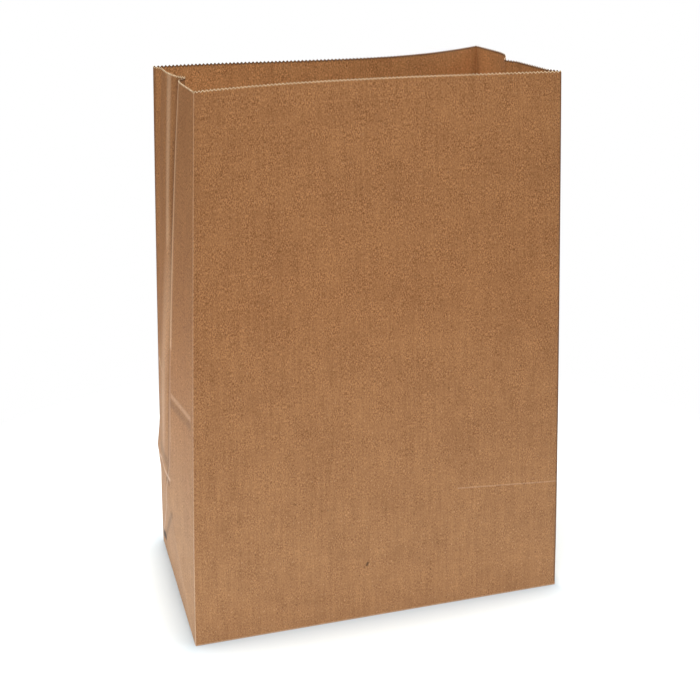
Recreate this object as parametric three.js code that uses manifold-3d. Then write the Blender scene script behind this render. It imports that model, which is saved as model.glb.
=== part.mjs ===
// Brown kraft paper bag, opened and standing on its flat bottom.
// It is one sheet, folded and glued: front and back panels, two gusseted sides, a lapped bottom.
// Millimetres, +Z up. The origin is the middle of the bottom, and the front panel faces -Y.

import * as THREE from "three";
import Module from "manifold-3d";

const wasm = await Module();
wasm.setup();

// Size of the opened bag
const width = 309.5;
const depth = 177.8;
const height = 431.8;

// Paper, and the glued lap that closes the sheet into a tube on the back panel
const sheet = 0.15;
const seamLap = 25.4;
const seamFromRight = 70;
const seamEdge = 0.3;
const seamFade = 6;

// Bottom: a front flap and a back flap, glued over each other at the middle
const bottomLap = 25.4;

// Serrated cut round the mouth
const toothPitch = 3.175;
const toothDepth = 1.3;
const toothBand = 8;

// How far each corner of the mouth is drawn in from the bottom corner under it
const frontLeftIn = 22.7;
const frontLeftBack = 1;
const frontRightIn = 13.8;
const frontRightBack = 7.5;
const backRightIn = 12.3;
const backRightBack = 1;
const backLeftIn = 14.4;
const backLeftForward = 35;
const drawGrowth = 1.2;

// Inward bow of the front and back panels at the mouth, and how it moves off their middle
const frontBow = 18;
const frontBowSkew = 0.75;
const backBow = 31;
const backBowSkew = 1.6;
const bowGrowth = 1.4;

// Crease left where the folded bottom lay against the back panel, a little above half the depth
const creaseLap = 11;
const flareRise = 24;
const sideFlare = 2.1;
const backFlare = 2;

// How far the meeting point of each side's diagonal creases stands out
const leftPeak = 7;
const rightPeak = 2;

// Slow forms of each side at the mouth: [share of the side from its front corner, mm outwards]
const leftMouth = [[0, 0], [0.333, -0.7], [0.417, -2], [0.583, -5.2], [0.917, -4.8], [1, 0]];
const rightMouth = [[0, 0], [0.083, -5.8], [0.417, -8], [0.583, -5.5], [0.667, 0], [0.75, 2], [1, 0]];
const mouthGrowth = 2;

// Sharp middle fold of each side at the mouth, given in the same way
const leftFold = [[0, 0], [0.417, 0], [0.5, -6.9], [0.583, 0], [0.75, 1.5], [0.917, 0], [1, 0]];
const rightFold = [[0, 0], [0.417, 0], [0.5, -6.7], [0.583, 0], [1, 0]];
const foldGrowth = 0.6;

// How far the right side's middle crease moves forwards at the mouth, as a share of that side
const rightDrift = 0.06;

// Steps of the mesh
const panelSteps = 16;
const gussetSteps = 12;
const upperSteps = 9;

const creaseHeight = depth / 2 + creaseLap;

const mix = (a, b, t) => a + (b - a) * t;

// Value at s of a line through [s, value] points
function along(points, s) {
  const next = points.findIndex((point, i) => i > 0 && point[0] >= s);
  const [from, to] = [points[next - 1], points[next]];
  return mix(from[1], to[1], (s - from[0]) / (to[0] - from[0]));
}

// 1 at the crease, 0 farther than the flare's rise from it
const flare = (z) => Math.max(0, 1 - Math.abs(z - creaseHeight) / flareRise);

// 0 up to the crease, 1 at the mouth
const aboveCrease = (z) => Math.max(0, (z - creaseHeight) / (height - creaseHeight));

// How much of the drawing in at the mouth is reached at height z
const drawn = (z) => (z / height) ** drawGrowth;

const corners = {
  frontLeft: (z) => [
    -width / 2 + frontLeftIn * drawn(z),
    -depth / 2 + frontLeftBack * (z / height),
  ],
  frontRight: (z) => [
    width / 2 - frontRightIn * drawn(z),
    -depth / 2 + frontRightBack * (z / height),
  ],
  backRight: (z) => [
    width / 2 - backRightIn * drawn(z) + sideFlare * flare(z),
    depth / 2 + backRightBack * (z / height) + backFlare * flare(z),
  ],
  backLeft: (z) => [
    -width / 2 + backLeftIn * drawn(z) - sideFlare * flare(z),
    depth / 2 - backLeftForward * (z / height) + backFlare * flare(z),
  ],
};

// Outward distance of the paper from the straight line between its panel's two edges
const bowed = (bow, share, z) => -bow * Math.sin(Math.PI * share) * (z / height) ** bowGrowth;

// A side stands up to its diagonal creases as one triangle, and then folds towards the mouth's form
function gussetForm(fromFront, z, peak, mouth, fold) {
  const tent = peak * Math.min(1, (2 * z) / depth, 2 * fromFront, 2 * (1 - fromFront));
  const rise = aboveCrease(z);
  const slow = mix(tent, along(mouth, fromFront), rise ** mouthGrowth);
  return slow + along(fold, fromFront) * rise ** foldGrowth;
}

// Extra thickness of the glued lap, a cut edge on one side and a fade on the other
function seamThickness(s) {
  const x = s * width - seamFromRight;
  if (x < 0 || x > seamLap + seamFade) return 0;
  return sheet * Math.min(1, x / seamEdge, (seamLap + seamFade - x) / seamFade);
}

const seamColumns = [0, seamEdge, seamLap, seamLap + seamFade].map((x) => (seamFromRight + x) / width);
const even = (count) => Array.from({ length: count }, (_, i) => i / count);

// Columns of the back panel, without those that would crowd one of the seam's own
function withSeam(columns) {
  const isClear = (s) => seamColumns.every((seam) => Math.abs(s - seam) * width > seamFade / 2);
  return [...new Set([0, ...columns.filter(isClear), ...seamColumns])].sort((a, b) => a - b);
}

// Panels in order round the bag, anticlockwise from above
const panels = [
  {
    from: "frontLeft",
    to: "frontRight",
    length: width,
    columns: even(panelSteps),
    form: (s, z) => bowed(frontBow, s ** frontBowSkew, z),
  },
  {
    from: "frontRight",
    to: "backRight",
    length: depth,
    columns: even(gussetSteps),
    form: (s, z) => gussetForm(s, z, rightPeak, rightMouth, rightFold),
    drift: -rightDrift,
  },
  {
    from: "backRight",
    to: "backLeft",
    length: width,
    columns: withSeam(even(panelSteps)),
    form: (s, z) => bowed(backBow, (1 - s) ** backBowSkew, z),
    extra: seamThickness,
  },
  {
    from: "backLeft",
    to: "frontLeft",
    length: depth,
    columns: even(gussetSteps),
    form: (s, z) => gussetForm(1 - s, z, leftPeak, leftMouth, leftFold),
  },
];

// Plan position of the paper's outer face at a share s of a panel and height z
function place(panel, s, z) {
  const a = corners[panel.from](z);
  const b = corners[panel.to](z);
  const run = [b[0] - a[0], b[1] - a[1]];
  const out = panel.form(s, z) / Math.hypot(...run);
  const share = s + (panel.drift ?? 0) * aboveCrease(z) * 2 * Math.min(s, 1 - s);
  return [a[0] + run[0] * share + run[1] * out, a[1] + run[1] * share - run[0] * out];
}

// One closed ring of the bag: outer and inner points, set a sheet apart square to the paper
function ring(stations, outerZ, innerZ) {
  const plan = stations.map(({ panel, s, z }) => place(panel, s, z));
  const count = plan.length;
  const normals = plan.map((p, i) => {
    const q = plan[(i + 1) % count];
    const length = Math.hypot(q[0] - p[0], q[1] - p[1]);
    return [(q[1] - p[1]) / length, (p[0] - q[0]) / length];
  });
  return stations.map(({ panel, s, z }, i) => {
    const before = normals[(i + count - 1) % count];
    const after = normals[i];
    const mitre = 1 / (1 + before[0] * after[0] + before[1] * after[1]);
    const square = [(before[0] + after[0]) * mitre, (before[1] + after[1]) * mitre];
    const proud = panel.extra ? panel.extra(s) : 0;
    const [x, y] = plan[i];
    return {
      outer: [x + square[0] * proud, y + square[1] * proud, outerZ ?? z],
      inner: [x - square[0] * sheet, y - square[1] * sheet, innerZ ?? z],
    };
  });
}

const stationsAt = (z) => panels.flatMap((panel) => panel.columns.map((s) => ({ panel, s, z })));

// Two stations a tooth, low at the cut's roots and high at its points
const mouthStations = panels.flatMap((panel) => {
  const teeth = Math.round(panel.length / toothPitch);
  return even(2 * teeth).map((s, i) => ({ panel, s, z: height - toothDepth * (1 - (i % 2)) }));
});

// Heights of the rings: even steps up to where the diagonals meet, so that they run through mesh corners
const lowerRows = [...even(gussetSteps / 2), 1].map((share) => share * (depth / 2));
const topRow = height - toothBand;
const upperRows = even(upperSteps + 1).map((_, i) => mix(creaseHeight, topRow, i / upperSteps));
const rows = [...lowerRows, ...upperRows];

// Running position of a station round the bag, for joining rings with different steps
const roundTheBag = (stations) => stations.map(({ panel, s }) => panels.indexOf(panel) + s);

// Triangles between a low ring and a high one, in order of their positions
function strip(low, high, lowStart, highStart) {
  const triangles = [];
  let [i, j] = [0, 0];
  while (i < low.length || j < high.length) {
    const nextLow = i + 1 < low.length ? low[i + 1] : panels.length;
    const nextHigh = j + 1 < high.length ? high[j + 1] : panels.length;
    const a = lowStart + (i % low.length);
    const b = highStart + (j % high.length);
    if (i < low.length && (j === high.length || nextLow <= nextHigh)) {
      triangles.push([a, lowStart + ((i + 1) % low.length), b]);
      i += 1;
    } else {
      triangles.push([a, highStart + ((j + 1) % high.length), b]);
      j += 1;
    }
  }
  return triangles;
}

const flip = (triangles) => triangles.map(([a, b, c]) => [a, c, b]);

// Underside of the tube's own floor: it lies on both bottom flaps
const under = 2 * sheet;

// The tube and its floor: outer face, inner face, and the paper's edge at the mouth
function shell() {
  const grid = rows.map((z, i) => ({
    stations: stationsAt(z),
    points: i ? ring(stationsAt(z)) : ring(stationsAt(z), under, under + sheet),
  }));
  grid.push({ stations: mouthStations, points: ring(mouthStations) });
  const vertices = [];
  const triangles = [];
  const starts = {};
  for (const face of ["outer", "inner"]) {
    starts[face] = grid.map(({ points }) => {
      const start = vertices.length;
      vertices.push(...points.map((point) => point[face]));
      return start;
    });
    const order = face === "outer" ? (list) => list : flip;
    for (let row = 1; row < grid.length; row += 1) {
      const low = roundTheBag(grid[row - 1].stations);
      const high = roundTheBag(grid[row].stations);
      triangles.push(...order(strip(low, high, starts[face][row - 1], starts[face][row])));
    }
    const middle = vertices.length;
    vertices.push([0, 0, face === "outer" ? under : under + sheet]);
    const base = grid[0].points.map((_, i) => [
      middle,
      starts[face][0] + ((i + 1) % grid[0].points.length),
      starts[face][0] + i,
    ]);
    triangles.push(...order(base));
  }
  const top = grid.length - 1;
  const count = mouthStations.length;
  for (let i = 0; i < count; i += 1) {
    const next = (i + 1) % count;
    triangles.push([starts.outer[top] + i, starts.outer[top] + next, starts.inner[top] + next]);
    triangles.push([starts.outer[top] + i, starts.inner[top] + next, starts.inner[top] + i]);
  }
  return new wasm.Manifold(new wasm.Mesh({
    numProp: 3,
    vertProperties: new Float32Array(vertices.flat()),
    triVerts: new Uint32Array(triangles.flat()),
  }));
}

// A bottom flap: hinged on one long edge, cut at 45 degrees, and past the middle by half a lap.
// It reaches half a sheet into the tube's floor, so that the two are one solid.
function flap(hinge, lowest) {
  const inset = sheet / 2;
  const reach = depth / 2 + bottomLap / 2;
  const outline = new THREE.Shape([
    new THREE.Vector2(-width / 2 + 2 * inset, 0),
    new THREE.Vector2(width / 2 - 2 * inset, 0),
    new THREE.Vector2(width / 2 - reach, reach - inset),
    new THREE.Vector2(-width / 2 + reach, reach - inset),
  ]);
  const plate = new THREE.ExtrudeGeometry(outline, { depth: under + inset - lowest, bevelEnabled: false });
  if (hinge === "back") plate.rotateZ(Math.PI);
  plate.translate(0, (hinge === "back" ? 1 : -1) * (depth / 2 - inset), lowest);
  return solid(plate);
}

// Corners of a plate that agree to this many decimals are one
const cornerDecimals = 4;

// A closed geometry as a solid, its shared corners merged
function solid(geometry) {
  const position = geometry.attributes.position;
  const index = new Map();
  const vertices = [];
  const triangles = [];
  for (let i = 0; i < position.count; i += 1) {
    const point = [position.getX(i), position.getY(i), position.getZ(i)];
    const key = point.map((value) => value.toFixed(cornerDecimals)).join();
    if (!index.has(key)) {
      index.set(key, index.size);
      vertices.push(...point);
    }
    triangles.push(index.get(key));
  }
  return new wasm.Manifold(new wasm.Mesh({
    numProp: 3,
    vertProperties: new Float32Array(vertices),
    triVerts: new Uint32Array(triangles),
  }));
}

// The outer flap hinges at the back and lies one sheet below the front one
const paper = shell().add(flap("front", sheet)).add(flap("back", 0));

function geometryOf(manifold) {
  const { numProp, vertProperties, triVerts } = manifold.getMesh();
  const geometry = new THREE.BufferGeometry();
  geometry.setAttribute("position", new THREE.BufferAttribute(vertProperties, numProp));
  geometry.setIndex(new THREE.BufferAttribute(triVerts, 1));
  geometry.computeVertexNormals();
  return geometry;
}

const kraft = new THREE.MeshStandardMaterial({ color: 0xa97a50, roughness: 0.88, metalness: 0 });
const bag = new THREE.Mesh(geometryOf(paper), kraft);
bag.name = "paper_bag";

const group = new THREE.Group();
group.add(bag);

export default group;
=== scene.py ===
# Looks of the brown kraft paper bag: the folded sheet, its paper, the light and the camera.
# Metres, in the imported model's frame: +Z up, the front panel faces -Y.

import math

import bpy
import numpy as np
from mathutils import Matrix, Vector


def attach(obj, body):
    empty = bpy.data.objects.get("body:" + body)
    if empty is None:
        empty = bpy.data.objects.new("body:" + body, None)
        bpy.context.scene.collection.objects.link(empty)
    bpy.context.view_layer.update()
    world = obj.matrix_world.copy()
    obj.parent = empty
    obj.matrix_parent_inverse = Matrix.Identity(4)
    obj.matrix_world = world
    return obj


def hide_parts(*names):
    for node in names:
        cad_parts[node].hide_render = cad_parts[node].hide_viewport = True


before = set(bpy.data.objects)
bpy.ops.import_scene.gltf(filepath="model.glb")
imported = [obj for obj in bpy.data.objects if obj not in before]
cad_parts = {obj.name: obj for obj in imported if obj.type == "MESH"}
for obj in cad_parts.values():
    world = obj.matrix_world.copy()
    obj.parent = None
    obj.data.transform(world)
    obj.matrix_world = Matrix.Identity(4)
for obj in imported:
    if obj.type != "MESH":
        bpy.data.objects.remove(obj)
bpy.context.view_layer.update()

MM = 0.001

# Size of the opened bag and of its paper. The lap's edge is a step, and its other side fades out.
WIDTH = 309.5 * MM
DEPTH = 177.8 * MM
HEIGHT = 431.8 * MM
SHEET = 0.15 * MM
SEAM_LAP = 25.4 * MM
SEAM_FROM_RIGHT = 70 * MM
SEAM_EDGE = 0.3 * MM
SEAM_FADE = 6 * MM
BOTTOM_LAP = 25.4 * MM
FLAPS_TOP = 2 * SHEET
FLOOR_TOP = FLAPS_TOP + SHEET
TOOTH_PITCH = 3.175 * MM
TOOTH_DEPTH = 1.3 * MM

# Height of the cut beside a fold between panels, as share of a tooth's depth above the roots
BESIDE_FOLD = 0.35

# How far each corner of the mouth is drawn in from the bottom corner under it
FRONT_LEFT_IN = 22.7 * MM
FRONT_LEFT_BACK = 1 * MM
FRONT_RIGHT_IN = 13.8 * MM
FRONT_RIGHT_BACK = 7.5 * MM
BACK_RIGHT_IN = 12.3 * MM
BACK_RIGHT_BACK = 1 * MM
BACK_LEFT_IN = 14.4 * MM
BACK_LEFT_FORWARD = 35 * MM
DRAW_GROWTH = 1.2

# Inward bow of the front and back panels at the mouth
FRONT_BOW = 18 * MM
FRONT_BOW_SKEW = 0.75
BACK_BOW = 31 * MM
BACK_BOW_SKEW = 1.6
BOW_GROWTH = 1.4

# Crease left where the folded bottom lay against the back panel
CREASE_HEIGHT = DEPTH / 2 + 11 * MM
FLARE_RISE = 24 * MM
SIDE_FLARE = 2.1 * MM
BACK_FLARE = 2 * MM
LEFT_PEAK = 7 * MM
RIGHT_PEAK = 4 * MM

# Slow forms of each side at the mouth, and its sharp middle fold:
# share of the side from its front corner, and millimetres outwards
LEFT_MOUTH = [(0, 0), (0.333, -0.7), (0.417, -2), (0.583, -5.2), (0.917, -4.8), (1, 0)]
RIGHT_MOUTH = [(0, 0), (0.083, -5.8), (0.417, -8), (0.583, -5.5), (0.667, 0), (0.75, 2), (1, 0)]
MOUTH_GROWTH = 2
LEFT_FOLD = [(0, 0), (0.417, 0), (0.5, -6.9), (0.583, 0), (0.75, 1.5), (0.917, 0), (1, 0)]
RIGHT_FOLD = [(0, 0), (0.417, 0), (0.5, -6.7), (0.583, 0), (1, 0)]
FOLD_GROWTH = 0.6
RIGHT_DRIFT = 0.06

# Soft rounding: of the folds between panels, by a radius and by how far a corner's point moves towards
# the middle of its two neighbours, and of the bends in the forms above, by averaging over a stretch
FOLD_RADIUS = 0.6 * MM
CORNER_ROUNDING = 0.586
FOLD_SOFTNESS = 2.0 * MM
SOFTENING_STEPS = 5
SHARP_FROM = math.radians(50)

# Slow waves of the paper: radians per metre along the sheet and upwards, phase, and height.
# They grow from the bottom to half height, and fade out at the folds by this power of a sine.
WAVES = [
    (21, 6, 0.4, 0.35 * MM),
    (37, -11, 2.1, 0.22 * MM),
    (63, 17, 4.0, 0.12 * MM),
    (9, 29, 1.3, 0.18 * MM),
]
WAVE_FADE = 0.7

# Rows of the mesh, evenly spaced below and above the crease, and the toothed band over them
ROWS_TO_CREASE = 40
ROWS_TO_MOUTH = 36
BAND = 4 * MM

# Where the middle of the bottom lies on the flat sheet: clear of all fold lines
BOTTOM_ON_SHEET = (WIDTH / 2, -HEIGHT)

# Camera: place, direction, focal length in pixels of the 700-pixel frame, and sensor in millimetres
FRAME_PIXELS = 700
CAMERA_PLACE = (-0.2611, -0.9053, 0.5535)
CAMERA_AZIMUTH = math.radians(-16.11)
CAMERA_ELEVATION = math.radians(20.56)
CAMERA_ROLL = math.radians(-0.64)
FOCAL_PIXELS = 1212.2
SENSOR = 36.0


def mix(a, b, t):
    return a + (b - a) * t


def flare(z):
    """1 at the crease, 0 farther than FLARE_RISE from it."""
    return np.maximum(0, 1 - np.abs(z - CREASE_HEIGHT) / FLARE_RISE)


def drawn(z):
    """How much of the drawing in at the mouth is reached at height z."""
    return (z / HEIGHT) ** DRAW_GROWTH


def above_crease(z):
    """0 up to the crease, and from there evenly up to 1 at the mouth."""
    return np.maximum(0, (z - CREASE_HEIGHT) / (HEIGHT - CREASE_HEIGHT))


def front_left(z):
    t = z / HEIGHT
    return -WIDTH / 2 + FRONT_LEFT_IN * drawn(z), -DEPTH / 2 + FRONT_LEFT_BACK * t


def front_right(z):
    t = z / HEIGHT
    return WIDTH / 2 - FRONT_RIGHT_IN * drawn(z), -DEPTH / 2 + FRONT_RIGHT_BACK * t


def back_right(z):
    t = z / HEIGHT
    x = WIDTH / 2 - BACK_RIGHT_IN * drawn(z) + SIDE_FLARE * flare(z)
    return x, DEPTH / 2 + BACK_RIGHT_BACK * t + BACK_FLARE * flare(z)


def back_left(z):
    t = z / HEIGHT
    x = -WIDTH / 2 + BACK_LEFT_IN * drawn(z) - SIDE_FLARE * flare(z)
    return x, DEPTH / 2 - BACK_LEFT_FORWARD * t + BACK_FLARE * flare(z)


def front_form(s, z):
    return -FRONT_BOW * np.sin(np.pi * s**FRONT_BOW_SKEW) * (z / HEIGHT) ** BOW_GROWTH


def back_form(s, z):
    return -BACK_BOW * np.sin(np.pi * (1 - s) ** BACK_BOW_SKEW) * (z / HEIGHT) ** BOW_GROWTH


def softened(points, s):
    """Value at s of a line through (share, mm) points, its bends rounded over FOLD_SOFTNESS."""
    shares = [point[0] for point in points]
    values = [point[1] * MM for point in points]
    reach = FOLD_SOFTNESS / DEPTH
    steps = np.linspace(-1, 1, SOFTENING_STEPS)
    total = sum(np.interp(np.clip(s + step * reach, 0, 1), shares, values) for step in steps)
    return total / SOFTENING_STEPS


def gusset_form(from_front, z, peak, mouth, fold):
    """How far a side stands out: a tent at the bottom, which turns into the mouth's form and fold."""
    tent = peak * np.minimum.reduce(
        [np.ones_like(z), 2 * z / DEPTH, 2 * from_front, 2 * (1 - from_front)]
    )
    rise = above_crease(z)
    slow = mix(tent, softened(mouth, from_front), rise**MOUTH_GROWTH)
    return slow + softened(fold, from_front) * rise**FOLD_GROWTH


def right_form(s, z):
    return gusset_form(s, z, RIGHT_PEAK, RIGHT_MOUTH, RIGHT_FOLD)


def left_form(s, z):
    return gusset_form(1 - s, z, LEFT_PEAK, LEFT_MOUTH, LEFT_FOLD)


# Panels round the bag, anticlockwise from above: start, end, length, form, drift of the middle crease
PANELS = [
    (front_left, front_right, WIDTH, front_form, 0),
    (front_right, back_right, DEPTH, right_form, -RIGHT_DRIFT),
    (back_right, back_left, WIDTH, back_form, 0),
    (back_left, front_left, DEPTH, left_form, 0),
]
FRONT, RIGHT, BACK, LEFT = range(len(PANELS))
LENGTHS = np.array([panel[2] for panel in PANELS])
PANEL_STARTS = np.cumsum([0, *LENGTHS])


def place(panel, s, z):
    """Plan position of the paper's outer face, for arrays of shares s and heights z."""
    start, end, _, form, drift = PANELS[panel]
    ax, ay = start(z)
    bx, by = end(z)
    run_x, run_y = bx - ax, by - ay
    out = form(s, z) / np.hypot(run_x, run_y)
    share = s + drift * above_crease(z) * 2 * np.minimum(s, 1 - s)
    return ax + run_x * share + run_y * out, ay + run_y * share - run_x * out


def seam_thickness(panel, s):
    """Extra thickness where the sheet's ends are glued over each other, on the back."""
    x = s * WIDTH - SEAM_FROM_RIGHT
    lap = np.minimum.reduce([np.ones_like(x), x / SEAM_EDGE, (SEAM_LAP + SEAM_FADE - x) / SEAM_FADE])
    return np.where(panel == BACK, SHEET * np.clip(lap, 0, 1), 0)


def stations():
    """Panel, share along it, and height in the teeth (0 at roots, 1 at points) of every column."""
    found = []
    for panel, length in enumerate(LENGTHS):
        halves = 2 * round(length / TOOTH_PITCH)
        near = FOLD_RADIUS / length
        found += [(panel, 0, 0), (panel, near, BESIDE_FOLD)]
        found += [(panel, half / halves, half % 2) for half in range(1, halves)]
        found.append((panel, 1 - near, BESIDE_FOLD))
    return [np.array(values) for values in zip(*found)]


def row_heights():
    low = np.linspace(0, CREASE_HEIGHT, ROWS_TO_CREASE + 1)[:-1]
    high = np.linspace(CREASE_HEIGHT, HEIGHT - BAND, ROWS_TO_MOUTH + 1)
    return np.concatenate([low, high])


def offset(x, y, distance):
    """Points of a closed ring, moved outwards square to it by distance."""
    step_x, step_y = np.roll(x, -1) - x, np.roll(y, -1) - y
    length = np.hypot(step_x, step_y)
    after_x, after_y = step_y / length, -step_x / length
    before_x, before_y = np.roll(after_x, 1), np.roll(after_y, 1)
    mitre = distance / (1 + before_x * after_x + before_y * after_y)
    return x + (before_x + after_x) * mitre, y + (before_y + after_y) * mitre


def wave(u, v):
    """Slow waves of the paper at places of the flat sheet, gone at its bottom."""
    total = sum(height * np.sin(u * along + v * upwards + phase) for along, upwards, phase, height in WAVES)
    return total * np.clip(v / (HEIGHT / 2), 0, 1)


def rings(panel, share, u, z):
    """Plan positions of the paper's outer and inner faces in every column, at heights z."""
    x, y = np.empty(len(z)), np.empty(len(z))
    for number in range(len(PANELS)):
        here = panel == number
        x[here], y[here] = place(number, share[here], z[here])
    for corner in np.flatnonzero(share == 0):
        beside = [corner - 1, corner + 1]
        for values in (x, y):
            values[corner] += CORNER_ROUNDING * (values[beside].mean() - values[corner])
    x, y = offset(x, y, wave(u, z) * np.sin(np.pi * share) ** WAVE_FADE)
    return offset(x, y, seam_thickness(panel, share)), offset(x, y, -SHEET)


def walls():
    """Vertices, faces, places on the flat sheet and distances from the cut of the upright walls.

    Rows run from the bottom up, the outer face's before the inner face's. The last value is the
    number of columns in a row.
    """
    panel, share, tooth = stations()
    count = len(panel)
    u = PANEL_STARTS[panel] + share * LENGTHS[panel]
    levels = [np.full(count, height) for height in row_heights()]
    to_cut = [HEIGHT - TOOTH_DEPTH / 2 - z for z in levels] + [np.zeros(count)]
    levels.append(HEIGHT - TOOTH_DEPTH * (1 - tooth))
    outer, inner = [], []
    for z in levels:
        outer_plan, inner_plan = rings(panel, share, u, z)
        outer.append(np.column_stack([*outer_plan, np.maximum(z, FLAPS_TOP)]))
        inner.append(np.column_stack([*inner_plan, np.maximum(z, FLOOR_TOP)]))
    rows = len(levels)
    here = np.arange(count)
    following = (here + 1) % count
    faces = []
    for row in range(rows - 1):
        low, high = row * count, (row + 1) * count
        faces.append(np.column_stack([low + here, low + following, high + following, high + here]))
        low, high = low + rows * count, high + rows * count
        faces.append(np.column_stack([low + here, high + here, high + following, low + following]))
    top, inner_top = (rows - 1) * count, (2 * rows - 1) * count
    faces.append(np.column_stack([top + here, top + following, inner_top + following, inner_top + here]))
    sheet = np.column_stack([np.tile(u, 2 * rows), np.concatenate(levels * 2)])
    return np.concatenate(outer + inner), np.concatenate(faces), sheet, np.concatenate(to_cut * 2), count


def make_bag():
    vertices, faces, sheet, to_cut, count = walls()
    inner_from = len(vertices) // 2
    inside = np.repeat([0.0, 1.0], inner_from)
    bottom_vertices, bottom_faces = bottom(len(vertices), count, inner_from)
    vertices = np.concatenate([vertices, bottom_vertices])
    to_cut = np.concatenate([to_cut, np.full(len(bottom_vertices), HEIGHT)])
    inside = np.concatenate([inside, np.zeros(len(bottom_vertices))])
    mesh = bpy.data.meshes.new("kraft_bag")
    mesh.from_pydata(vertices.tolist(), [], faces.tolist() + bottom_faces)
    mesh.validate()
    corners = np.empty(len(mesh.loops), dtype=np.int32)
    mesh.loops.foreach_get("vertex_index", corners)
    bottom_from = mesh.polygons[len(faces)].loop_start
    wall_corners, bottom_corners = np.split(corners, [bottom_from])
    flat = np.concatenate([sheet[wall_corners], vertices[bottom_corners, :2] + BOTTOM_ON_SHEET])
    wrap_u(mesh, flat)
    mesh.uv_layers.new(name="sheet").data.foreach_set("uv", flat.ravel())
    for name, values in (("to_cut", to_cut), ("inside", inside)):
        mesh.attributes.new(name, "FLOAT", "POINT").data.foreach_set("value", values.astype(np.float32))
    mesh.shade_smooth()
    mesh.set_sharp_from_angle(angle=SHARP_FROM)
    bag = bpy.data.objects.new("kraft_bag", mesh)
    bpy.context.collection.objects.link(bag)
    return bag


def wrap_u(mesh, flat):
    """Moves corners at the sheet's start on to its end, in faces that join the two."""
    total = PANEL_STARTS[-1]
    starts = np.empty(len(mesh.polygons), dtype=np.int32)
    sizes = np.empty(len(mesh.polygons), dtype=np.int32)
    mesh.polygons.foreach_get("loop_start", starts)
    mesh.polygons.foreach_get("loop_total", sizes)
    for start, size in zip(starts, sizes):
        us = flat[start : start + size, 0]
        if us.max() - us.min() > total / 2:
            us[us < total / 2] += total


def bottom(first, count, inner_from):
    """Vertices, numbered from first, and faces of the floor from above and below and of its two flaps."""
    vertices = [(0, 0, FLAPS_TOP), (0, 0, FLOOR_TOP)]
    faces = []
    for here in range(count):
        following = (here + 1) % count
        faces.append((first, following, here))
        faces.append((first + 1, inner_from + here, inner_from + following))
    reach = DEPTH / 2 + BOTTOM_LAP / 2
    outline = [
        (-WIDTH / 2 + SHEET, 0),
        (WIDTH / 2 - SHEET, 0),
        (WIDTH / 2 - reach, reach),
        (-WIDTH / 2 + reach, reach),
    ]
    for side, low in ((-1, SHEET), (1, 0.0)):
        start = first + len(vertices)
        for z in (low, FLAPS_TOP):
            vertices += [(-side * x, side * (DEPTH / 2 - away), z) for x, away in outline]
        under, over = range(start, start + 4), range(start + 4, start + 8)
        faces += [tuple(reversed(under)), tuple(over)]
        for edge in range(4):
            following = (edge + 1) % 4
            faces.append((under[edge], under[following], over[following], over[edge]))
    return np.array(vertices), faces


class Nodes:
    """Short calls for the nodes of a material or world."""

    def __init__(self, owner):
        owner.use_nodes = True
        self.tree = owner.node_tree
        self.tree.nodes.clear()

    def add(self, kind, inputs=None, **settings):
        node = self.tree.nodes.new(kind)
        for name, value in settings.items():
            setattr(node, name, value)
        for name, value in (inputs or {}).items():
            self.join(value, node.inputs[name])
        return node

    def join(self, value, socket):
        if isinstance(value, bpy.types.NodeSocket):
            self.tree.links.new(value, socket)
        else:
            socket.default_value = value

    def math(self, operation, a, b=0.0, c=0.0, clamp=False):
        node = self.add("ShaderNodeMath", {0: a, 1: b, 2: c}, operation=operation, use_clamp=clamp)
        return node.outputs[0]

    def swing(self, value, amount, middle, clamp=False):
        """A value from 0 to 1, turned into one that swings round middle by amount in all."""
        return self.math("MULTIPLY_ADD", self.math("SUBTRACT", value, 0.5), amount, middle, clamp)

    def between(self, value, low, high):
        """A value from 0 to 1, turned into one from low to high."""
        return self.math("MULTIPLY_ADD", value, high - low, low)

    def blend(self, factor, a, b, mode="MIX"):
        node = self.add("ShaderNodeMix", data_type="RGBA", blend_type=mode)
        for socket, value in zip((node.inputs[0], node.inputs[6], node.inputs[7]), (factor, a, b)):
            self.join(value, socket)
        return node.outputs[2]

    def noise(self, vector, scale, detail, roughness, stretch):
        mapped = self.add("ShaderNodeMapping", {"Vector": vector, "Scale": stretch}).outputs[0]
        node = self.add(
            "ShaderNodeTexNoise",
            {"Vector": mapped, "Scale": scale, "Detail": detail, "Roughness": roughness},
        )
        return node.outputs["Fac"]

    def ramp(self, value, low, high):
        node = self.add(
            "ShaderNodeMapRange", {"Value": value, "From Min": low, "From Max": high}, clamp=True
        )
        return node.outputs[0]


def linear(red, green, blue):
    """Linear colour of an 8-bit display colour."""

    def channel(value):
        value /= 255
        return value / 12.92 if value <= 0.04045 else ((value + 0.055) / 1.055) ** 2.4

    return channel(red), channel(green), channel(blue), 1.0


def on_panel(panel, lines):
    """Lines of a panel, whose ends are given by share along it and height, as lines of the flat sheet."""
    first, length = PANEL_STARTS[panel], LENGTHS[panel]
    return [
        ((first + length * share_a, z_a), (first + length * share_b, z_b), half, strength)
        for (share_a, z_a), (share_b, z_b), half, strength in lines
    ]


# Upright folds, rubbed light and painted with the highlight along the fold. Places on the flat sheet are
# counted from the front left fold right round to it again, so it is there twice.
CORNER_HIGHLIGHT_AND_WEAR = (0.6, 0.15, 0.6, 0.6, 0.6)
CORNER_HALF = 0.45 * MM
CORNER_FOLDS = [
    ((u, 0), (u, HEIGHT), CORNER_HALF, strength) for u, strength in zip(PANEL_STARTS, CORNER_HIGHLIGHT_AND_WEAR)
]
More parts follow.
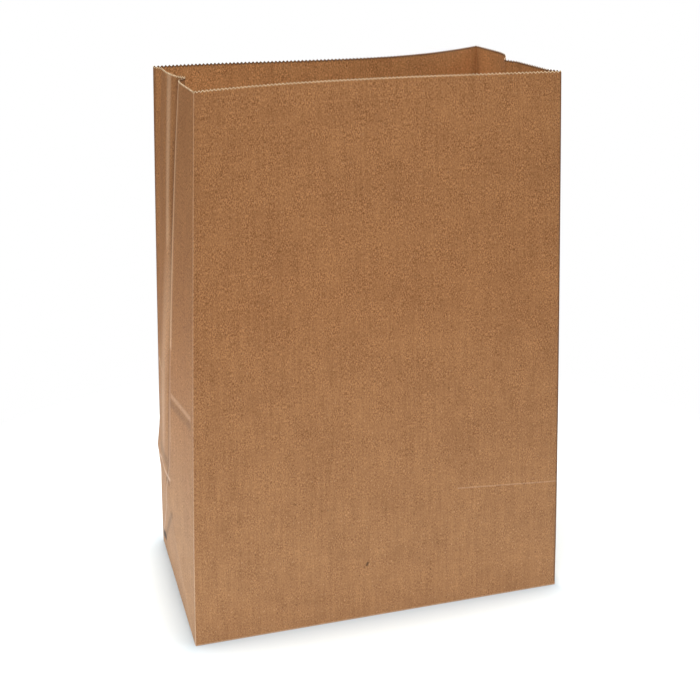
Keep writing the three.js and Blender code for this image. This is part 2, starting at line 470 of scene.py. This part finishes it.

# Other folds, rubbed light and with painted highlights, and painted highlight strips: start and end as
# share along the panel and height, half width, and strength. The left side's strips are painted highlights
# on the bends of its paper.
FOLD_MARK_LENGTH = 89 * MM
APEX = (0.5, DEPTH / 2)
LEFT_BEND = (0.583, 150 * MM)
LEFT_STRIP = (0.59, 230 * MM)
LEFT_CREASE_STEP = (0.25, 106 * MM)
SIDE_DIAGONALS = [((0, 0), APEX, 0.8 * MM, 0.5), ((1, 0), APEX, 0.6 * MM, 0.2)]
FRONT_FOLDS = [
    ((0, 0.4 * MM), (1, 0.4 * MM), CORNER_HALF, 0.55),
    ((1 - FOLD_MARK_LENGTH / WIDTH, 104 * MM), (1, 98 * MM), 0.5 * MM, 0.28),
]
RIGHT_FOLDS = [
    (APEX, (0.5, HEIGHT), 0.4 * MM, 0.3),
    ((0.5, CREASE_HEIGHT), (1, CREASE_HEIGHT), 0.9 * MM, 0.5),
]
BACK_FOLDS = [((0, CREASE_HEIGHT), (1, CREASE_HEIGHT), 0.9 * MM, 0.5)]
LEFT_FOLD_AND_BEND_HIGHLIGHTS = [
    (APEX, LEFT_BEND, 1.0 * MM, 0.4),
    (LEFT_BEND, LEFT_STRIP, 2.2 * MM, 0.3),
    (LEFT_STRIP, (0.6, HEIGHT), 3.4 * MM, 0.85),
    ((0.31, HEIGHT), (0.4, 315 * MM), 5 * MM, 0.6),
    ((0.4, 250 * MM), (0.34, 175 * MM), 13 * MM, 0.42),
    ((0, 94 * MM), LEFT_CREASE_STEP, 1.0 * MM, 0.55),
    (LEFT_CREASE_STEP, (0.58, 112 * MM), 1.0 * MM, 0.55),
    ((0.95, 191 * MM), (0.62, 189 * MM), 1.7 * MM, 0.38),
    ((0.05, 187 * MM), (0.41, 192 * MM), 1.2 * MM, 0.6),
]
RUBBED_AND_HIGHLIGHT_LINES = (
    CORNER_FOLDS
    + on_panel(FRONT, FRONT_FOLDS)
    + on_panel(RIGHT, SIDE_DIAGONALS + RIGHT_FOLDS)
    + on_panel(BACK, BACK_FOLDS)
    + on_panel(LEFT, SIDE_DIAGONALS + LEFT_FOLD_AND_BEND_HIGHLIGHTS)
)

# Painted shade: along the front's right edge, and on the left side in the hidden bottom of its fold, along
# its creases and along its upright edges
FRONT_EDGE = 1 - 0.5 * MM / WIDTH
LEFT_EDGE = 2 * MM / DEPTH
FRONT_DARK = [((FRONT_EDGE, 4 * MM), (FRONT_EDGE, HEIGHT), 0.8 * MM, 0.75)]
LEFT_DARK = [
    ((0.47, HEIGHT), (0.5, 280 * MM), 7 * MM, 0.6),
    ((0.5, 250 * MM), (0.52, 112 * MM), 4 * MM, 0.35),
    ((0.95, 185 * MM), (0.6, 182 * MM), 3 * MM, 0.3),
    ((0.2, 114 * MM), (0.52, 122 * MM), 3.6 * MM, 0.36),
    ((0.5, 108 * MM), (0.56, 107 * MM), 2 * MM, 0.5),
    ((LEFT_EDGE, 125 * MM), (LEFT_EDGE, HEIGHT), 2.4 * MM, 0.45),
    ((0.2, 24 * MM), (0.6, 82 * MM), 2.4 * MM, 0.4),
    ((1, 10 * MM), (1, HEIGHT), 1.6 * MM, 0.12),
]
PAINTED_SHADE_LINES = on_panel(FRONT, FRONT_DARK) + on_panel(LEFT, LEFT_DARK)

# A dark fibre in the front panel, and painted shadow in the hollow of the bottom's folds at the back left
# corner
FIBRE = ((141.5 * MM / WIDTH, 47.5 * MM), (142.3 * MM / WIDTH, 49.5 * MM), 0.75 * MM, 0.8)
HOLLOW_SHADOW = ((0.1, 17 * MM), (0.2, 24 * MM), 3.6 * MM, 1.0)
FIBRE_AND_HOLLOW_SHADOW = on_panel(FRONT, [FIBRE]) + on_panel(LEFT, [HOLLOW_SHADOW])

# Painted shade in the inside's back right corner, which makes it darker than its two walls
INSIDE_CORNER_SHADE = on_panel(BACK, [((0, 0), (0, HEIGHT), 9 * MM, 0.22)])

# A line is full within the first share of its half width and gone at the second. One whose half width
# is over BROAD fades out slowly past its ends, by the slope BROAD_END.
LINE_FALL = (0.3, 2)
BROAD = 4.5 * MM
BROAD_END = 0.3


def line_strength(n, u, v, line):
    """How strong a line is at a place of the sheet: its full strength on it, falling smoothly to 0."""
    (u0, v0), (u1, v1), half, strength = line
    length = math.hypot(u1 - u0, v1 - v0)
    du, dv = (u1 - u0) / length, (v1 - v0) / length
    ru, rv = n.math("SUBTRACT", u, u0), n.math("SUBTRACT", v, v0)
    along = n.math("MULTIPLY_ADD", ru, du, n.math("MULTIPLY", rv, dv))
    across = n.math("MULTIPLY_ADD", ru, dv, n.math("MULTIPLY", rv, -du))
    past = n.math("SUBTRACT", along, n.math("MINIMUM", n.math("MAXIMUM", along, 0.0), length))
    if half > BROAD:
        past = n.math("MULTIPLY", past, BROAD_END)
    away = n.math("SQRT", n.math("MULTIPLY_ADD", past, past, n.math("MULTIPLY", across, across)))
    full, gone = LINE_FALL
    near = n.ramp(away, gone * half, full * half)
    near.node.interpolation_type = "SMOOTHSTEP"
    return n.math("MULTIPLY", near, strength)


def strongest(n, u, v, lines):
    strength = 0.0
    for line in lines:
        strength = n.math("MAXIMUM", strength, line_strength(n, u, v, line))
    return strength


# Noises of the paper: waves per metre, detail, roughness, and stretch along the sheet and upwards
EVEN = (1, 1, 1)
SPECKLE = (1150, 1, 0.5, (1, 0.7, 1))
FIBRES = (1500, 1, 0.5, (1, 0.3, 1))
STREAKS = (420, 2, 0.6, (1, 0.06, 1))
PATCHES = (110, 2, 0.5, EVEN)
CLOUDS = (24, 3, 0.5, EVEN)
FLECKS = (700, 0, 0.4, (1, 0.6, 1))
GLINTS = (900, 0, 0.4, (1, 0.5, 1))
COARSENESS = (75, 1, 0.5, EVEN)
COCKLE = (70, 2, 0.5, (1, 0.5, 1))

# How much each noise moves the paper between its dark and light colours. The grain is speckle and
# fibres. It is finer and coarser by place, and coarser towards the mouth.
FIBRE_SHARE = 1.1
STREAK_SHARE = 0.55
PATCH_SHARE = 0.35
CLOUD_SHARE = 0.4
COARSE_FROM = (0.35, 0.65)
GRAIN_BY_PLACE = (0.9, 2.0)
GRAIN_HEIGHTS = (60 * MM, 300 * MM)
GRAIN_BY_HEIGHT = (0.65, 1.15)
PAPER_DARK = linear(139, 87, 46)
PAPER_LIGHT = linear(204, 145, 91)

# Dark and light spots: the stretch of their noise in which they appear, strength and colour
FLECK_FROM, FLECK_STRENGTH, FLECK_COLOUR = (0.76, 0.82), 0.55, linear(88, 52, 26)
GLINT_FROM, GLINT_STRENGTH, GLINT_COLOUR = (0.7, 0.8), 0.35, linear(226, 178, 128)

# Unevenness that the fibres give the rubbed folds and their painted highlights, and the colours of all
# drawn lines
UNEVEN_SWING = 2.0
UNEVEN_MEAN = 0.9
RUBBED_AND_HIGHLIGHT = linear(230, 190, 152)
PAINTED_SHADE = linear(92, 60, 36)
FIBRE_AND_SHADOW_COLOUR = linear(66, 42, 25)

# The light lip of the cut outside, the paler cut edge with a painted highlight, and the painted shade under
# it
# inside: gone at the first distance from the cut and full at the second
LIP_REACH = (0.7 * MM, 0.25 * MM)
PALE_CUT_AND_HIGHLIGHT = linear(255, 230, 188)
RIM_SHADE_REACH = (2.0 * MM, 0.8 * MM)
RIM_SHADE_STRENGTH = 0.7
INSIDE_SHADE = linear(64, 44, 29)

# Painted light: the inside is made lighter than its own light makes it, for the light the paper lets
# through
INSIDE_PAINTED_LIGHT = (1.28, 1.41, 1.48, 1)

# Painted light bounced up from the white table: the paper is made paler towards the table, and more so
# round the sides and back
LOW_HEIGHTS = (270 * MM, 60 * MM)
LOW_PAINTED_BOUNCE = (1.02, 1.15, 1.34, 1)
LOW_SIDE_HEIGHTS = (210 * MM, 90 * MM)
LOW_SIDE_PAINTED_BOUNCE = (0.93, 1.03, 1.18, 1)

# Surface: roughness from smoothest to roughest, shine, and bumps as strength and height
ROUGHNESS = (0.62, 0.82)
SHINE = 0.45
STREAK_RELIEF = 0.5
COCKLE_BUMP = (0.25, 0.35 * MM)
GRAIN_BUMP = (0.3, 0.07 * MM)


def paper_tone(n, coords, v, grain, streaks):
    """How light the paper is by itself, from 0 to 1."""
    by_place = n.between(n.ramp(n.noise(coords, *COARSENESS), *COARSE_FROM), *GRAIN_BY_PLACE)
    by_height = n.between(n.ramp(v, *GRAIN_HEIGHTS), *GRAIN_BY_HEIGHT)
    tone = n.math("MULTIPLY_ADD", grain, n.math("MULTIPLY", by_place, by_height), 0.5)
    tone = n.swing(streaks, STREAK_SHARE, tone)
    tone = n.swing(n.noise(coords, *PATCHES), PATCH_SHARE, tone)
    return n.swing(n.noise(coords, *CLOUDS), CLOUD_SHARE, tone, clamp=True)


def drawn_on(n, colour, u, v, fibres, outside):
    """The outside's painted shade, then its rubbed folds and painted highlights, then its dark fibre and
    painted hollow shadow, over the paper's colour.
    """
    # Painted shade in the fold's valley, under creases and along edges
    painted_shade = n.math("MULTIPLY", strongest(n, u, v, PAINTED_SHADE_LINES), outside)
    colour = n.blend(painted_shade, colour, PAINTED_SHADE)
    # Rubbed folds, lighter by wear and by a painted highlight along their edges and bends
    uneven = n.swing(fibres, UNEVEN_SWING, UNEVEN_MEAN, clamp=True)
    rubbed_and_highlight = n.math("MULTIPLY", strongest(n, u, v, RUBBED_AND_HIGHLIGHT_LINES), uneven)
    colour = n.blend(n.math("MULTIPLY", rubbed_and_highlight, outside), colour, RUBBED_AND_HIGHLIGHT)
    # A dark fibre, and a painted shadow in the hollow at the back left corner
    fibre_and_shadow = n.math("MULTIPLY", strongest(n, u, v, FIBRE_AND_HOLLOW_SHADOW), outside)
    return n.blend(fibre_and_shadow, colour, FIBRE_AND_SHADOW_COLOUR)


def bumps(n, coords, grain, streaks):
    """Normal of the paper's surface: slow cockles under the fine grain."""
    normal = None
    relief = n.math("MULTIPLY_ADD", streaks, STREAK_RELIEF, grain)
    for height, (strength, distance) in ((n.noise(coords, *COCKLE), COCKLE_BUMP), (relief, GRAIN_BUMP)):
        bump = n.add("ShaderNodeBump", {"Height": height, "Strength": strength, "Distance": distance})
        if normal is not None:
            n.join(normal, bump.inputs["Normal"])
        normal = bump.outputs[0]
    return normal


def kraft_material():
    material = bpy.data.materials.new("kraft_paper")
    n = Nodes(material)
    coords = n.add("ShaderNodeUVMap", uv_map="sheet").outputs[0]
    split = n.add("ShaderNodeSeparateXYZ", {0: coords})
    u, v = split.outputs[0], split.outputs[1]
    inside = n.add("ShaderNodeAttribute", attribute_name="inside").outputs["Fac"]
    to_cut = n.add("ShaderNodeAttribute", attribute_name="to_cut").outputs["Fac"]
    outside = n.math("SUBTRACT", 1.0, inside)

    speckle, fibres, streaks = (n.noise(coords, *kind) for kind in (SPECKLE, FIBRES, STREAKS))
    grain = n.swing(fibres, FIBRE_SHARE, n.math("SUBTRACT", speckle, 0.5))
    colour = n.blend(paper_tone(n, coords, v, grain, streaks), PAPER_DARK, PAPER_LIGHT)
    flecks = n.math("MULTIPLY", n.ramp(n.noise(coords, *FLECKS), *FLECK_FROM), FLECK_STRENGTH)
    colour = n.blend(flecks, colour, FLECK_COLOUR)
    glints = n.math("MULTIPLY", n.ramp(n.noise(coords, *GLINTS), *GLINT_FROM), GLINT_STRENGTH)
    colour = n.blend(glints, colour, GLINT_COLOUR)
    colour = drawn_on(n, colour, u, v, fibres, outside)

    # Paler cut edge outside, with its painted highlight
    cut_edge_and_highlight = n.math("MULTIPLY", n.ramp(to_cut, *LIP_REACH), outside)
    colour = n.blend(cut_edge_and_highlight, colour, PALE_CUT_AND_HIGHLIGHT)
    # Painted shade under the rim inside and in the inside's back right corner
    under_rim = n.math("MULTIPLY", n.ramp(to_cut, *RIM_SHADE_REACH), RIM_SHADE_STRENGTH)
    shaded = n.math("MAXIMUM", under_rim, strongest(n, u, v, INSIDE_CORNER_SHADE))
    colour = n.blend(n.math("MULTIPLY", shaded, inside), colour, INSIDE_SHADE)

    # Painted light: the inside made lighter, for light the paper lets through
    colour = n.blend(inside, colour, INSIDE_PAINTED_LIGHT, "MULTIPLY")
    # Painted light from the table: paler towards the bottom, more on the sides and back
    low = n.math("MULTIPLY", n.ramp(v, *LOW_HEIGHTS), outside)
    colour = n.blend(low, colour, LOW_PAINTED_BOUNCE, "MULTIPLY")
    low_side_bounce = n.math("MULTIPLY", n.ramp(v, *LOW_SIDE_HEIGHTS), outside)
    low_side_bounce = n.math("MULTIPLY", low_side_bounce, n.math("GREATER_THAN", u, WIDTH))
    colour = n.blend(low_side_bounce, colour, LOW_SIDE_PAINTED_BOUNCE, "MULTIPLY")

    shader = n.add(
        "ShaderNodeBsdfPrincipled",
        {
            "Base Color": colour,
            "Roughness": n.between(speckle, *ROUGHNESS),
            "Normal": bumps(n, coords, grain, streaks),
            "Specular IOR Level": SHINE,
        },
    )
    n.add("ShaderNodeOutputMaterial", {"Surface": shader.outputs[0]})
    return material


# Table: a white square round the bag, in metres. To the camera it grows plain white between two
# distances from its middle, and close to the bag it has a painted contact shadow, a narrow dark band,
# shorter on the lit right.
WHITE = (1, 1, 1, 1)
TABLE_HALF = 0.62
TABLE_PLAIN_FROM = (0.34, 0.5)
TABLE_LIT = (0.9, 0.9, 0.9, 1)
TABLE_SEEN = (0.95, 1, 1, 1)
CONTACT_SHADOW = (0.60, 0.67, 0.72, 1)
CONTACT_REACH = 28 * MM
CONTACT_FALL = 0.7
LIT_SIDE = 3


def from_bag(n, point):
    """Distance of a point of the table from the bag's bottom, counted LIT_SIDE times on the right."""
    x, y = n.add("ShaderNodeSeparateXYZ", {0: point}).outputs[:2]
    past_left = n.math("MAXIMUM", n.math("SUBTRACT", -WIDTH / 2, x), 0.0)
    past_right = n.math("MAXIMUM", n.math("SUBTRACT", x, WIDTH / 2), 0.0)
    past_x = n.math("MULTIPLY_ADD", past_right, LIT_SIDE, past_left)
    past_y = n.math("MAXIMUM", n.math("SUBTRACT", n.math("ABSOLUTE", y), DEPTH / 2), 0.0)
    return n.math("SQRT", n.math("MULTIPLY_ADD", past_x, past_x, n.math("MULTIPLY", past_y, past_y)))


def make_floor():
    mesh = bpy.data.meshes.new("floor")
    corners = [(-1, -1), (1, -1), (1, 1), (-1, 1)]
    mesh.from_pydata([(TABLE_HALF * x, TABLE_HALF * y, 0) for x, y in corners], [], [(0, 1, 2, 3)])
    floor = bpy.data.objects.new("floor", mesh)
    bpy.context.collection.objects.link(floor)
    material = bpy.data.materials.new("white_floor")
    n = Nodes(material)
    seen = n.add("ShaderNodeLightPath").outputs["Is Camera Ray"]
    on_table = n.add("ShaderNodeTexCoord").outputs["Object"]
    # Painted contact shadow close to the bag
    contact = n.math("POWER", n.ramp(from_bag(n, on_table), 0, CONTACT_REACH), CONTACT_FALL)
    tone = n.blend(seen, TABLE_LIT, n.blend(contact, CONTACT_SHADOW, TABLE_SEEN))
    table = n.add("ShaderNodeBsdfDiffuse", {"Color": tone}).outputs[0]
    plain = n.add("ShaderNodeEmission", {"Color": WHITE, "Strength": 1.0}).outputs[0]
    distance = n.add("ShaderNodeVectorMath", {0: on_table}, operation="LENGTH").outputs["Value"]
    far = n.math("MULTIPLY", n.ramp(distance, *TABLE_PLAIN_FROM), seen)
    shown = n.add("ShaderNodeMixShader", {0: far, 1: table, 2: plain})
    n.add("ShaderNodeOutputMaterial", {"Surface": shown.outputs[0]})
    mesh.materials.append(material)


# Room: a faint even light, and plain white behind everything to the camera
SKY_STRENGTH = 0.05


def make_world():
    world = bpy.data.worlds.new("studio")
    bpy.context.scene.world = world
    n = Nodes(world)
    seen = n.add("ShaderNodeLightPath").outputs["Is Camera Ray"]
    sky, backdrop = (
        n.add("ShaderNodeBackground", {"Color": WHITE, "Strength": strength}).outputs[0]
        for strength in (SKY_STRENGTH, 1.0)
    )
    shown = n.add("ShaderNodeMixShader", {0: seen, 1: sky, 2: backdrop})
    n.add("ShaderNodeOutputWorld", {"Surface": shown.outputs[0]})


# Lights: name, place, point they aim at, diameter in metres, and watts
LIGHTS = [
    ("overhead", (0.1, -0.1, 2.0), (0, 0, 0.15), 1.6, 42),
    ("overhead_left", (-0.55, 0.1, 1.9), (0, 0, 0.15), 1.3, 9),
    ("front_left", (-0.75, -1.55, 1.25), (0, 0, 0.34), 0.7, 12.6),
    ("top_left", (-0.3, -0.45, 0.6), (-0.1, -0.09, 0.38), 0.2, 0.1),
    ("left_low", (-0.42, 0.02, 0.05), (0, 0, 0.06), 0.22, 0.4),
    ("back", (0.3, 1.8, 0.9), (0, 0, 0.3), 0.9, 9),
    ("right", (1.7, 0.2, 0.8), (0, 0, 0.3), 0.9, 6),
]


def make_lights():
    for name, stand, aim, diameter, power in LIGHTS:
        data = bpy.data.lights.new(name, "AREA")
        data.shape = "DISK"
        data.size = diameter
        data.energy = power
        light = bpy.data.objects.new(name, data)
        light.location = stand
        light.rotation_euler = (Vector(aim) - Vector(stand)).to_track_quat("-Z", "Y").to_euler()
        light.visible_camera = False
        bpy.context.collection.objects.link(light)


def make_camera():
    data = bpy.data.cameras.new("camera")
    data.sensor_width = SENSOR
    data.lens = FOCAL_PIXELS / FRAME_PIXELS * SENSOR
    camera = bpy.data.objects.new("camera", data)
    bpy.context.collection.objects.link(camera)
    level = math.cos(CAMERA_ELEVATION)
    back = Vector(
        (math.sin(CAMERA_AZIMUTH) * level, -math.cos(CAMERA_AZIMUTH) * level, math.sin(CAMERA_ELEVATION))
    )
    right = (-back).cross(Vector((0, 0, 1))).normalized()
    up = right.cross(-back)
    c, s = math.cos(CAMERA_ROLL), math.sin(CAMERA_ROLL)
    right, up = c * right + s * up, c * up - s * right
    turn = Matrix((right, up, back)).transposed().to_4x4()
    camera.matrix_world = Matrix.Translation(CAMERA_PLACE) @ turn
    bpy.context.scene.camera = camera


make_camera()
make_world()
make_lights()
make_floor()
bag = make_bag()
bag.data.materials.append(kraft_material())
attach(bag, "root")
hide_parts("paper_bag")

bpy.context.scene.view_settings.view_transform = "Standard"
